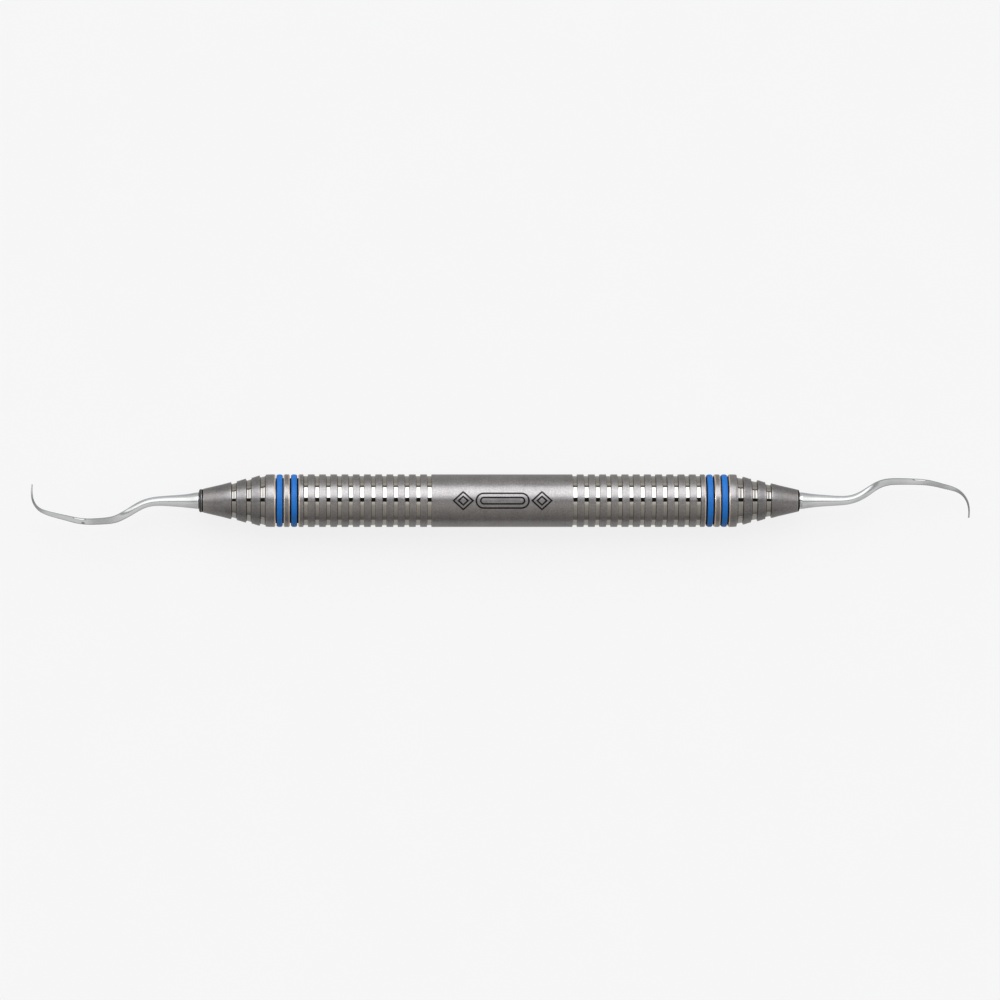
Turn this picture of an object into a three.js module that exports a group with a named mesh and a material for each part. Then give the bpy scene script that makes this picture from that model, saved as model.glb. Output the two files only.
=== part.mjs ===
// Double-ended dental hand scaler: a hollow grooved handle, a pressed-in nose
// cone at each end, a bent and ground working end bonded into each cone, and
// two silicone identification rings near each end.
//
// Frame: +X runs along the handle from end A to end B, +Y lies in the plane of
// the shank bends, +Z is up.  The origin is the middle of the handle on its
// axis.  The tool lies on its handle, so the surface it rests on is z = -4.7625.
// Units are millimetres.

import * as THREE from 'three';

// ---------------------------------------------------------------- dimensions
const HANDLE_OD = 9.525;          // 3/8 inch handle
const HANDLE_R = HANDLE_OD / 2;
const FACETS = 24;                // flats round every turned piece, one faces down
const BORE_R = 3.6;               // bore of the hollow handle
const TUBE_HALF = 40.94;          // half length of the grooved tube

const BAND_HALF = 12.75;          // half length of the smooth middle band
const GROOVE_COUNT = 12;          // grip grooves on each side of the band
const GROOVE_PITCH = 2.031;
const GROOVE_WIDTH = 0.824;
const GROOVE_DEPTH = 0.30;

const RING_SEAT_R = 4.06;         // floor of a ring groove
const RING_SEAT_IN = [36.82, 38.37];   // inner ring groove, from - to
const RING_SEAT_OUT = 39.49;      // outer ring groove starts here, ends at the cone
const RING_CHAMFER = 0.20;        // along the handle
const CHAMFER_DROP = 0.156;       // and towards its axis
const RING_W = 1.14;              // silicone ring width
const RING_IN_R = 4.09;
const RING_EDGE_R = 4.48;         // where the crown starts

const CONE_GAP = 0.03;            // joint line between tube and cone
const CONE_SLOPE = 0.2323;        // taper of the cones, radius per length
const RIDGE = 0.12;               // strip in the middle of a cone groove's floor
const CROWN = 0.045;              // the first land of a cone eases over towards the taper
const CONE_A = {                  // end A: longer cone with a collar
  end: 54.78,                     // nose face
  ref: [53.92, 2.17],             // a point on the taper line
  grooves: [[42.73, 43.77], [45.28, 46.25], [47.95, 48.94]],
  floor: [0.185, 0.185, 0.185],   // slope of a groove floor: inner part, ridge, outer part
  collarGroove: [54.05, 54.28], collarGrooveDepth: 0.10, collarR: 2.10,
};
const CONE_B = {                  // end B: plain rounded nose
  end: 53.90,
  ref: [53.12, 2.118],
  grooves: [[42.48, 43.65], [45.11, 46.25], [47.69, 48.76]],
  floor: [0.12, 0.22, 0.09],
};
const SPIGOT_R = 3.55;            // cone spigot inside the tube
const SPIGOT_IN = 35.2;           // inner end of the spigot
const COUNTERBORE_R = 2.6;        // hollow in the spigot
const COUNTERBORE_TO = 41.2;
const TANG_BORE_R = 1.56;         // bore through the nose for the tang
const RETAIN = [36.6, 39.4];      // band of retaining compound round the spigot
const RETAIN_SEAT_R = 3.30;

const TANG_R = 1.36;              // tang of a working end
const TANG_IN = 42.2;             // inner end of the tang
const TANG_BOND_R = [1.43, 1.53]; // adhesive sleeve round the tang
const SHANK_MOUTH_R = 1.48;       // shank where it leaves the nose

// Centreline of each working end in the plane of its bends, [along, across],
// measured from the middle of the handle.
const LINE_A = [[55.263, 0], [56.767, 0.045], [58.253, 0.045], [59.764, 0.045],
  [61.284, 0.057], [62.772, 0.144], [63.971, 0.361], [65.123, 0.764],
  [66.215, 1.36], [67.296, 2.035], [68.407, 2.664], [69.517, 3.213],
  [70.681, 3.535], [71.892, 3.672], [73.139, 3.749], [74.403, 3.793],
  [75.665, 3.739], [76.913, 3.556], [78.139, 3.27], [79.35, 2.97],
  [80.548, 2.684], [81.736, 2.36], [82.533, 2.089], [83.311, 1.759],
  [83.968, 1.237], [84.468, 0.577], [84.777, -0.196], [84.913, -1.042],
  [84.93, -1.909], [84.84, -2.93]];
const LINE_B = [[54.598, 0], [56.1, 0], [57.586, 0.004], [59.098, 0],
  [60.62, -0.008], [62.117, 0.041], [63.338, 0.229], [64.513, 0.614],
  [65.631, 1.186], [66.703, 1.881], [67.774, 2.579], [68.905, 3.102],
  [70.088, 3.378], [71.304, 3.473], [72.551, 3.478], [73.818, 3.466],
  [75.085, 3.426], [76.344, 3.357], [77.587, 3.209], [78.812, 2.959],
  [80.023, 2.646], [81.229, 2.342], [82.037, 2.099], [82.818, 1.761],
  [83.525, 1.257], [84.113, 0.593], [84.548, -0.2], [84.8, -1.082],
  [84.892, -1.987], [84.844, -3.103]];
// Thickness in that plane at a distance from the start of the line.
const THICKNESS = [[0, 2.95], [0.5, 2.79], [1, 2.65], [1.5, 2.51], [2, 2.41],
  [3, 2.21], [4, 2.08], [5, 1.93], [6, 1.80], [7, 1.70], [8, 1.62], [9, 1.57],
  [10, 1.54], [11, 1.53], [12, 1.49], [13, 1.43], [14, 1.40], [15, 1.35],
  [16, 1.29], [17, 1.24], [18, 1.20], [19.5, 1.17], [21, 1.11], [22.5, 1.09],
  [24, 1.00], [25.5, 0.92], [27, 0.87], [28, 0.81], [28.8, 0.68], [29.5, 0.58],
  [30, 0.50], [31, 0.41], [32, 0.36], [33, 0.32], [34.35, 0.25]];
// Thickness out of that plane: the round shank flattens, then the blade follows.
const DEPTHS = [[0, 2.95], [0.5, 2.79], [1, 2.65], [1.5, 2.51], [2, 2.41],
  [3, 2.21], [4, 2.08], [5, 1.93], [6, 1.80], [7, 1.70], [8, 1.62], [9, 1.57],
  [10, 1.54], [11, 1.51], [12, 1.38], [13.5, 1.12], [15, 0.94], [16.5, 0.84],
  [18, 0.80], [21, 0.76], [24, 0.76], [26.5, 0.80], [28.6, 0.80], [30, 0.72],
  [31.5, 0.58], [33, 0.42], [34.35, 0.22]];
const FLATS = [9.5, 15.5];        // the two flats start here and are full here
const FLAT_SHARE = 0.78;          // how much of the width the flats take
const FLAT_LEAN = 0.26;           // slope of the flats against the plane of the bends
const BLADE = [21.8, 24.5];       // the same for the blade
const BLADE_LEAN = 0.30;
const RUN_OUT = { at: 22.0, half: 1.3, slope: -0.34, crease: 0.43 };  // where the grinding starts
const SWAY = 0.35;                // small offset of the lower shank out of plane
const TOE_SWAY = -1.2;            // and further at the toe
const TIP_SIDES = 16;

// ------------------------------------------------------------------ materials
const satin = () => new THREE.MeshStandardMaterial({ color: 0x8b8784, roughness: 0.42, metalness: 1 });
const satinCone = () => new THREE.MeshStandardMaterial({ color: 0x85817e, roughness: 0.42, metalness: 1 });
const bright = () => new THREE.MeshStandardMaterial({ color: 0xc9cbcb, roughness: 0.16, metalness: 1 });
const silicone = () => new THREE.MeshStandardMaterial({ color: 0x1f66bd, roughness: 0.6, metalness: 0 });
const epoxy = () => new THREE.MeshStandardMaterial({ color: 0xb9a77c, roughness: 0.35, metalness: 0 });

// -------------------------------------------------------------------- helpers
const lerpTable = (table, x) => {
  if (x <= table[0][0]) return table[0][1];
  for (let i = 1; i < table.length; i++) {
    if (x <= table[i][0]) {
      const [x0, y0] = table[i - 1];
      const [x1, y1] = table[i];
      return y0 + (y1 - y0) * (x - x0) / (x1 - x0);
    }
  }
  return table[table.length - 1][1];
};
const smooth = (a, b, x) => {
  const t = Math.min(1, Math.max(0, (x - a) / (b - a)));
  return t * t * (3 - 2 * t);
};

// Turns every face of a closed geometry outwards.
function outward(geometry) {
  const p = geometry.getAttribute('position');
  const index = geometry.getIndex();
  let volume = 0;
  const a = new THREE.Vector3(), b = new THREE.Vector3(), c = new THREE.Vector3();
  for (let i = 0; i < index.count; i += 3) {
    a.fromBufferAttribute(p, index.getX(i));
    b.fromBufferAttribute(p, index.getX(i + 1));
    c.fromBufferAttribute(p, index.getX(i + 2));
    volume += a.dot(b.cross(c));
  }
  if (volume < 0) {
    for (let i = 0; i < index.count; i += 3) {
      const t = index.getX(i);
      index.setX(i, index.getX(i + 1));
      index.setX(i + 1, t);
    }
  }
  geometry.computeVertexNormals();
  return geometry;
}

// A turned solid about the X axis from a closed [x, r] profile.  r is measured
// to the flats, so a flat of the largest radius faces straight down.
function turned(profile) {
  const k = 1 / Math.cos(Math.PI / FACETS);
  const points = profile.map(([x, r]) => new THREE.Vector2(r * k, x));
  points.push(points[0].clone());
  const geometry = new THREE.LatheGeometry(points, FACETS, Math.PI / FACETS);
  geometry.rotateZ(-Math.PI / 2);
  return outward(geometry);
}

function mesh(name, geometry, material) {
  const m = new THREE.Mesh(geometry, material);
  m.name = name;
  return m;
}

// --------------------------------------------------------------------- handle
// Outer profile of one half of the tube, from the middle outwards.
function tubeHalf() {
  const p = [];
  for (let i = 0; i < GROOVE_COUNT; i++) {
    const x0 = BAND_HALF + i * GROOVE_PITCH;
    const x1 = x0 + GROOVE_WIDTH;
    p.push([x0, HANDLE_R], [x0, HANDLE_R - GROOVE_DEPTH], [x1, HANDLE_R - GROOVE_DEPTH], [x1, HANDLE_R]);
  }
  const [s0, s1] = RING_SEAT_IN;
  const c = RING_CHAMFER;
  const d = HANDLE_R - CHAMFER_DROP;
  p.push([s0 - c, HANDLE_R], [s0, d], [s0, RING_SEAT_R], [s1, RING_SEAT_R], [s1, d], [s1 + c, HANDLE_R]);
  p.push([RING_SEAT_OUT - c, HANDLE_R], [RING_SEAT_OUT, d], [RING_SEAT_OUT, RING_SEAT_R], [TUBE_HALF, RING_SEAT_R]);
  return p;
}

function handleTube() {
  const half = tubeHalf();
  const left = half.map(([x, r]) => [-x, r]).reverse();
  return turned([...left, ...half, [TUBE_HALF, BORE_R], [-TUBE_HALF, BORE_R]]);
}

// ---------------------------------------------------------------------- cones
function noseCone(cone) {
  const line = (x) => cone.ref[1] + (cone.ref[0] - x) * CONE_SLOPE;
  const x0 = TUBE_HALF + CONE_GAP;
  const c = RING_CHAMFER;
  const p = [
    [SPIGOT_IN, COUNTERBORE_R], [SPIGOT_IN, SPIGOT_R - 0.3], [SPIGOT_IN + 0.3, SPIGOT_R],
    [RETAIN[0], SPIGOT_R], [RETAIN[0], RETAIN_SEAT_R], [RETAIN[1], RETAIN_SEAT_R], [RETAIN[1], SPIGOT_R],
    [x0, SPIGOT_R], [x0, HANDLE_R - CHAMFER_DROP], [x0 + c, HANDLE_R],
  ];
  const land = x0 + c + 0.25;
  const [s0, sm, s1] = cone.floor;
  cone.grooves.forEach(([a, b], i) => {
    const low = line(b) - GROOVE_DEPTH;
    const run = (b - a - RIDGE) / 2;
    if (i === 0) p.push([land, HANDLE_R], [(land + a) / 2, HANDLE_R - CROWN / 4]);
    p.push([a, i === 0 ? HANDLE_R - CROWN : line(a)], [a, low + run * (s0 + s1) + RIDGE * sm]);
    if (sm !== s0) p.push([a + run, low + run * s1 + RIDGE * sm], [b - run, low + run * s1]);
    p.push([b, low], [b, line(b)]);
  });
  const e = cone.end;
  if (cone.collarGroove) {
    const [g0, g1] = cone.collarGroove;
    const floor = line(g0) - cone.collarGrooveDepth;
    const r = cone.collarR;
    p.push([g0, line(g0)], [g0, floor], [g1, floor], [g1, r], [e - 0.38, r], [e - 0.19, r - 0.05], [e - 0.05, r - 0.19], [e, r - 0.33]);
  } else {
    const r = line(e - 0.36);
    p.push([e - 0.42, line(e - 0.42)], [e - 0.27, r - 0.02], [e - 0.085, r - 0.14], [e, r - 0.345]);
  }
  p.push([cone.end, TANG_BORE_R], [COUNTERBORE_TO, TANG_BORE_R], [COUNTERBORE_TO - 0.6, COUNTERBORE_R]);
  return turned(p);
}

// A plain sleeve between two radii.
const sleeve = (x0, x1, r0, r1) => turned([[x0, r0], [x0, r1], [x1, r1], [x1, r0]]);

// A silicone ring with a crowned face, centred on x.
function colorRing(x) {
  const w = RING_W / 2;
  return turned([[x - w, RING_IN_R], [x - w, RING_EDGE_R], [x - w * 0.62, HANDLE_R - 0.07], [x, HANDLE_R],
    [x + w * 0.62, HANDLE_R - 0.07], [x + w, RING_EDGE_R], [x + w, RING_IN_R]]);
}

// --------------------------------------------------------------- working ends
// Point j of the section at s, as [towards the inside of the hook, out of plane].
// Round at first, then with two leaning flats; where the grinding starts, one side
// of each flat turns over.
function section(j, s, r, h) {
  const step = TIP_SIDES / 4;
  const quarter = Math.floor(j / step);
  const part = (j % step) / step;
  const t = quarter % 2 === 0 ? part : 1 - part;      // 0 at the side, 1 at the middle of the flat
  const flat = smooth(...FLATS, s);
  const k = Math.min(1, 2 * t);
  const flatIn = t < 0.5 ? FLAT_SHARE + (1 - FLAT_SHARE) * (1 - k * k) : FLAT_SHARE * 2 * (1 - t);
  let inn = Math.cos(t * Math.PI / 2);
  let sid = Math.sin(t * Math.PI / 2);
  inn = (inn + (flatIn - inn) * flat) * r * (quarter === 0 || quarter === 3 ? 1 : -1);
  sid = (sid + (k - sid) * flat) * h * (quarter < 2 ? 1 : -1);
  const lean = FLAT_LEAN * flat + (BLADE_LEAN - FLAT_LEAN) * smooth(...BLADE, s);
  let out = sid - inn * lean;
  const strip = Math.abs(inn) - RUN_OUT.crease * r;
  if (inn * sid < 0 && strip > 0) {
    const turn = Math.max(0, 1 - ((s - RUN_OUT.at) / RUN_OUT.half) ** 2);
    out -= Math.sign(inn) * strip * (RUN_OUT.slope - lean) * turn * Math.abs(sid) / h;
  }
  return [inn, out];
}

// Out-of-plane position along the working end.
const sway = (s) => -SWAY * smooth(8, 18, s) + (s > 22 ? TOE_SWAY * ((s - 22) / 12.35) ** 2 : 0);

// A straight turned blank, then bent onto its centreline, with the flats and the
// blade ground on it.
function workingEnd(line, noseEnd, hand) {
  // centreline
  const flat = [[line[0][0] - 3, 0], [line[0][0] - 1.5, 0], ...line];
  const pts = [];
  let run = -3;
  flat.forEach(([x, y], i) => {
    if (i > 0) run += Math.hypot(x - flat[i - 1][0], y - flat[i - 1][1]);
    pts.push(new THREE.Vector3(x, y, hand * sway(run)));
  });
  const curve = new THREE.CatmullRomCurve3(pts, false, 'centripetal');
  curve.arcLengthDivisions = 3000;
  const total = curve.getLength();
  const start = flat[0][0];          // where the bent stretch begins
  const toeS = total - 3;

  // blank: axial position s runs from 0 at the first table point
  const blank = [];
  const s = (x) => x - line[0][0];
  const k = 1.01;
  blank.push([s(TANG_IN), 0], [s(TANG_IN), TANG_R - 0.25], [s(TANG_IN) + 0.25, TANG_R]);
  blank.push([s(noseEnd) - 1.05, TANG_R], [s(noseEnd) - 0.95, SHANK_MOUTH_R * k], [s(noseEnd), SHANK_MOUTH_R * k]);
  for (let t = 0.1; t < 26; t += 0.65) blank.push([t, lerpTable(THICKNESS, t) / 2 * k]);
  for (let t = 26; t < toeS - 0.2; t += 0.45) blank.push([t, lerpTable(THICKNESS, t) / 2 * k]);
  blank.push([toeS, lerpTable(THICKNESS, toeS) / 2 * k], [toeS, 0]);
  const geometry = new THREE.LatheGeometry(blank.map(([x, r]) => new THREE.Vector2(r, x)), TIP_SIDES, 0);

  // bend
  const p = geometry.getAttribute('position');
  const up = new THREE.Vector3(0, 0, 1);
  const n = new THREE.Vector3(), b = new THREE.Vector3();
  for (let i = 0; i < p.count; i++) {
    const t = p.getY(i);
    const r = Math.hypot(p.getX(i), p.getZ(i));
    const h = t < 0.05 ? r : lerpTable(DEPTHS, t) / 2 * k * r / (lerpTable(THICKNESS, t) / 2 * k);
    const j = (Math.floor(i / blank.length) + TIP_SIDES / 4) % TIP_SIDES;
    const [inn, out] = r > 1e-6 ? section(j, t, r, h) : [0, 0];
    const across = -inn;
    const side = out * hand;
    if (t <= -3) {
      p.setXYZ(i, start + (t + 3), across, side);
      continue;
    }
    const u = Math.min(1, (t + 3) / total);
    const at = curve.getPointAt(u);
    const tangent = curve.getTangentAt(u);
    n.crossVectors(up, tangent).normalize();
    b.crossVectors(tangent, n);
    p.setXYZ(i, at.x + n.x * across + b.x * side, at.y + n.y * across + b.y * side, at.z + n.z * across + b.z * side);
  }
  return outward(geometry);
}

// ------------------------------------------------------------------- assembly
function end(label, cone, line, hand) {
  const group = new THREE.Group();
  group.add(mesh(`nose_cone_${label}`, noseCone(cone), satinCone()));
  group.add(mesh(`working_end_${label}`, workingEnd(line, cone.end, hand), bright()));
  group.add(mesh(`color_ring_${label}_inner`, colorRing((RING_SEAT_IN[0] + RING_SEAT_IN[1]) / 2), silicone()));
  group.add(mesh(`color_ring_${label}_outer`, colorRing((RING_SEAT_OUT + TUBE_HALF) / 2), silicone()));
  group.add(mesh(`tang_bond_${label}`, sleeve(TANG_IN + 0.5, cone.end - 1.15, TANG_BOND_R[0], TANG_BOND_R[1]), epoxy()));
  group.add(mesh(`cone_bond_${label}`, sleeve(RETAIN[0] + 0.03, RETAIN[1] - 0.03, RETAIN_SEAT_R + 0.02, BORE_R - 0.02), epoxy()));
  return group;
}

const scaler = new THREE.Group();
scaler.name = 'hand_scaler';
scaler.add(mesh('handle_tube', handleTube(), satin()));
const endA = end('a', CONE_A, LINE_A, -1);
endA.rotation.z = Math.PI;
scaler.add(endA);
scaler.add(end('b', CONE_B, LINE_B, 1));

export default scaler;
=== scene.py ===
"""Looks of the double-ended hand scaler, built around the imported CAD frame."""
import math

import bmesh
import bpy
import numpy as np
from mathutils import Matrix, Vector


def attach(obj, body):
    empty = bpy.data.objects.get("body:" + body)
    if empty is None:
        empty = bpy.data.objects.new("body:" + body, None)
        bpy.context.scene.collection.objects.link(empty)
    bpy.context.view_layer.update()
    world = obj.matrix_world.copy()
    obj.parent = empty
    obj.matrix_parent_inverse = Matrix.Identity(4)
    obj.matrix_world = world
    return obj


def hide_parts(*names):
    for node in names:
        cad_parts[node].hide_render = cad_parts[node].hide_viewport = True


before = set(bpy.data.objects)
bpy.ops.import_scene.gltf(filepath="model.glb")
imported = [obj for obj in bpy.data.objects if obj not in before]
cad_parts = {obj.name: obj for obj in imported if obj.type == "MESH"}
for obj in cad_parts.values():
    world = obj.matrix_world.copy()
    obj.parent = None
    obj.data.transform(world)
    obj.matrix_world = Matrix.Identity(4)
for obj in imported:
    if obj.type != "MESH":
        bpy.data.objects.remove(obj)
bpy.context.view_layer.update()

MM = 0.001
scene = bpy.context.scene

# ------------------------------------------------------------------ dimensions
# Millimetres, the same as the solids: x along the handle, r from its axis.
R = 4.7625
SIDES = 144
TUBE_HALF = 40.94
BORE_R = 3.6
BAND_HALF, GROOVES, PITCH, GROOVE_W, DEPTH = 12.75, 12, 2.031, 0.824, 0.30
SEAT_R = 4.06
SEAT_IN = (36.82, 38.37)
SEAT_OUT = 39.49
CHAMFER = 0.20
RING_IN_R, RING_W = 4.09, 1.14
JOINT = 0.03
SLOPE = 0.2323
CONES = {
    "a": dict(end=54.78, ref=(53.92, 2.17), grooves=((42.73, 43.77), (45.28, 46.25), (47.95, 48.94)), floor=(0.185, 0.185, 0.185), collar=True),
    "b": dict(end=53.90, ref=(53.12, 2.118), grooves=((42.48, 43.65), (45.11, 46.25), (47.69, 48.76)), floor=(0.12, 0.22, 0.09), collar=False),
}
SPIGOT_R, SPIGOT_IN, CB_R, CB_TO, TANG_BORE = 3.55, 35.2, 2.6, 41.2, 1.56
RETAIN, RETAIN_R = (36.6, 39.4), 3.30
TANG_R, TANG_IN, MOUTH_R = 1.36, 42.2, 1.48
COLLAR_GROOVE, COLLAR_R, COLLAR_ROUND = (54.05, 54.28), 2.10, 0.38
RIDGE = 0.12                           # strip in the middle of a cone groove's floor
CROWN = 0.045                          # the first land of a cone eases over towards the taper

LINES = {
    "a": [(55.263, 0), (56.767, 0.045), (58.253, 0.045), (59.764, 0.045),
          (61.284, 0.057), (62.772, 0.144), (63.971, 0.361), (65.123, 0.764), (66.215, 1.36),
          (67.296, 2.035), (68.407, 2.664), (69.517, 3.213), (70.681, 3.535), (71.892, 3.672),
          (73.139, 3.749), (74.403, 3.793), (75.665, 3.739), (76.913, 3.556), (78.139, 3.27),
          (79.35, 2.97), (80.548, 2.684), (81.736, 2.36), (82.533, 2.089), (83.311, 1.759),
          (83.968, 1.237), (84.468, 0.577), (84.777, -0.196), (84.913, -1.042), (84.93, -1.909),
          (84.84, -2.93)],
    "b": [(54.598, 0), (56.1, 0), (57.586, 0.004), (59.098, 0),
          (60.62, -0.008), (62.117, 0.041), (63.338, 0.229), (64.513, 0.614), (65.631, 1.186),
          (66.703, 1.881), (67.774, 2.579), (68.905, 3.102), (70.088, 3.378), (71.304, 3.473),
          (72.551, 3.478), (73.818, 3.466), (75.085, 3.426), (76.344, 3.357), (77.587, 3.209),
          (78.812, 2.959), (80.023, 2.646), (81.229, 2.342), (82.037, 2.099), (82.818, 1.761),
          (83.525, 1.257), (84.113, 0.593), (84.548, -0.2), (84.8, -1.082), (84.892, -1.987),
          (84.844, -3.103)],
}
THICKNESS = [(0, 2.95), (0.5, 2.79), (1, 2.65), (1.5, 2.51), (2, 2.41), (3, 2.21), (4, 2.08), (5, 1.93), (6, 1.80),
             (7, 1.70), (8, 1.62), (9, 1.57), (10, 1.54), (11, 1.53), (12, 1.49), (13, 1.43), (14, 1.40), (15, 1.35),
             (16, 1.29), (17, 1.24), (18, 1.20), (19.5, 1.17), (21, 1.11), (22.5, 1.09), (24, 1.00), (25.5, 0.92), (27, 0.87),
             (28, 0.81), (28.8, 0.68), (29.5, 0.58), (30, 0.50), (31, 0.41), (32, 0.36), (33, 0.32), (34.35, 0.25)]
# Thickness out of that plane: the round shank flattens, then the ground blade takes over.
DEPTHS = [(0, 2.95), (0.5, 2.79), (1, 2.65), (1.5, 2.51), (2, 2.41), (3, 2.21), (4, 2.08), (5, 1.93), (6, 1.80),
          (7, 1.70), (8, 1.62), (9, 1.57), (10, 1.54), (11, 1.51), (12, 1.38), (13.5, 1.12), (15, 0.94), (16.5, 0.84), (18, 0.80),
          (21, 0.76), (24, 0.76), (26.5, 0.80), (28.6, 0.80), (30, 0.72), (31.5, 0.58), (33, 0.42), (34.35, 0.22)]
FLAT_FROM, FLAT_FULL = 9.5, 15.5
BLADE_FROM, BLADE_FULL = 21.8, 24.5
FLAT_SHARE = 0.78                      # how much of the width the flats take
LEAN, BLADE_LEAN = 0.26, 0.30          # slope of the flats against the plane of the bends
GLINT, GLINT_HALF = 22.0, 1.3          # run-out where the grinding starts
RUN_OUT = -0.34                        # slope of the flat there, along its one edge
CREASE = 0.43                          # how far from the middle that edge strip starts
SWAY, TOE_SWAY = 0.35, -1.2


def smooth(a, b, x):
    t = min(1.0, max(0.0, (x - a) / (b - a)))
    return t * t * (3 - 2 * t)


def table(points, x):
    return float(np.interp(x, [p[0] for p in points], [p[1] for p in points]))


# ----------------------------------------------------------------- node helper
class Nodes:
    """Short way to write a node tree."""

    def __init__(self, name):
        self.mat = bpy.data.materials.new(name)
        self.mat.use_nodes = True
        self.nt = self.mat.node_tree
        self.nt.nodes.clear()

    def add(self, kind, inputs=None, **props):
        n = self.nt.nodes.new(kind)
        for k, v in props.items():
            setattr(n, k, v)
        for k, v in (inputs or {}).items():
            if isinstance(v, bpy.types.NodeSocket):
                self.nt.links.new(v, n.inputs[k])
            else:
                n.inputs[k].default_value = v
        return n

    def ramp(self, fac, stops, interpolation="LINEAR"):
        n = self.add("ShaderNodeValToRGB", {"Fac": fac})
        cr = n.color_ramp
        cr.interpolation = interpolation
        while len(cr.elements) > 1:
            cr.elements.remove(cr.elements[-1])
        cr.elements[0].position, cr.elements[0].color = stops[0][0], (*stops[0][1], 1)
        for p, c in stops[1:]:
            e = cr.elements.new(p)
            e.color = (*c, 1)
        return n

    def mapping(self, scale, location=(0, 0, 0)):
        tc = self.add("ShaderNodeTexCoord")
        return self.add("ShaderNodeMapping", {"Vector": tc.outputs["Object"], "Scale": scale, "Location": location}).outputs[0]

    def noise(self, vector, scale, detail=3.0, rough=0.55):
        return self.add("ShaderNodeTexNoise", {"Vector": vector, "Scale": scale, "Detail": detail, "Roughness": rough}).outputs["Fac"]

    def math(self, op, a, b=0.0, c=0.0):
        n = self.add("ShaderNodeMath", operation=op)
        for i, v in enumerate((a, b, c)):
            if isinstance(v, bpy.types.NodeSocket):
                self.nt.links.new(v, n.inputs[i])
            else:
                n.inputs[i].default_value = v
        return n.outputs[0]

    def remap(self, value, a, b, c, d):
        return self.add("ShaderNodeMapRange", {"Value": value, "From Min": a, "From Max": b, "To Min": c, "To Max": d}).outputs[0]

    def mix(self, fac, a, b):
        n = self.add("ShaderNodeMix", data_type="RGBA")
        for key, v in (("Factor", fac), ("A", a), ("B", b)):
            socket = [s for s in n.inputs if s.name == key and (s.type == "RGBA" if key != "Factor" else s.type == "VALUE")][0]
            if isinstance(v, bpy.types.NodeSocket):
                self.nt.links.new(v, socket)
            else:
                socket.default_value = v if key == "Factor" else (*v, 1)
        return [s for s in n.outputs if s.type == "RGBA"][0]

    def bump(self, height, strength, distance, normal=None):
        ins = {"Height": height, "Strength": strength, "Distance": distance}
        if normal is not None:
            ins["Normal"] = normal
        return self.add("ShaderNodeBump", ins).outputs[0]

    def principled(self, **inputs):
        names = {k.replace("_", " "): v for k, v in inputs.items()}
        p = self.add("ShaderNodeBsdfPrincipled", names)
        out = self.add("ShaderNodeOutputMaterial")
        self.nt.links.new(p.outputs[0], out.inputs[0])
        return self.mat


# ------------------------------------------------------------------- materials
def satin_steel(name="satin_steel", tone=(0.267, 0.2615, 0.2655)):
    """Bead-blasted stainless: even matt grain, faint turning rings, edges lightened by the edge attribute: burnished
    wear on the groove rims, a painted highlight beside the noses.
    """
    n = Nodes(name)
    base = n.mapping((1, 1, 1))
    fine = n.noise(base, 9500, 2.0, 0.6)
    grain = n.noise(base, 3400, 2.5, 0.65)
    cloud = n.noise(base, 380, 3.0, 0.5)
    rings = n.noise(n.mapping((1, 0.01, 0.01)), 2600, 2.0, 0.5)
    edge = n.add("ShaderNodeAttribute", attribute_name="edge").outputs["Fac"]
    shade = n.math("MULTIPLY_ADD", grain, 0.50, n.math("MULTIPLY_ADD", fine, 0.18, n.math("MULTIPLY_ADD", cloud, 0.22, n.math("MULTIPLY", rings, 0.10))))
    colour = n.ramp(shade, [(0.34, tuple(c * 0.70 for c in tone)), (0.66, tuple(c * 1.30 for c in tone))]).outputs[0]
    # lighter at edges: burnished wear, and beside the noses a painted highlight
    colour = n.mix(n.math("MULTIPLY", edge, 0.4), colour, (0.39, 0.375, 0.36))
    rough = n.math("MULTIPLY_ADD", grain, 0.12, n.math("MULTIPLY_ADD", cloud, 0.05, 0.265))
    rough = n.math("SUBTRACT", rough, n.math("MULTIPLY", edge, 0.08))
    normal = n.bump(fine, 0.32, 0.00002)
    normal = n.bump(grain, 0.42, 0.00003, normal)
    normal = n.bump(rings, 0.05, 0.00002, normal)
    return n.principled(Base_Color=colour, Metallic=0.88, Roughness=rough, Normal=normal, Specular_IOR_Level=0.3)


def turned_steel():
    """Bright turned groove: fine tool rings round the floor."""
    n = Nodes("turned_steel")
    rings = n.noise(n.mapping((1, 0.02, 0.02)), 11000, 2.5, 0.6)
    cloud = n.noise(n.mapping((1, 1, 1)), 700, 2.0, 0.5)
    colour = n.ramp(n.math("MULTIPLY_ADD", rings, 0.6, n.math("MULTIPLY", cloud, 0.4)), [(0.3, (0.345, 0.337, 0.322)), (0.7, (0.465, 0.455, 0.438))]).outputs[0]
    rough = n.math("MULTIPLY_ADD", rings, 0.03, n.math("MULTIPLY_ADD", cloud, 0.03, 0.035))
    normal = n.bump(rings, 0.12, 0.00001)
    return n.principled(Base_Color=colour, Metallic=1.0, Roughness=rough, Normal=normal)


def chamfer_steel_painted_reflection():
    """Machined chamfer, brighter than the blasted lands; its warm tan colour is a painted reflection."""
    n = Nodes("chamfer_steel_painted_reflection")
    rings = n.noise(n.mapping((1, 0.02, 0.02)), 9000, 2.0, 0.6)
    colour = n.ramp(rings, [(0.3, (0.60, 0.455, 0.315)), (0.7, (0.715, 0.555, 0.40))]).outputs[0]
    rough = n.math("MULTIPLY_ADD", rings, 0.08, 0.34)
    return n.principled(Base_Color=colour, Metallic=0.65, Roughness=rough, Normal=n.bump(rings, 0.08, 0.00001))


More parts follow.
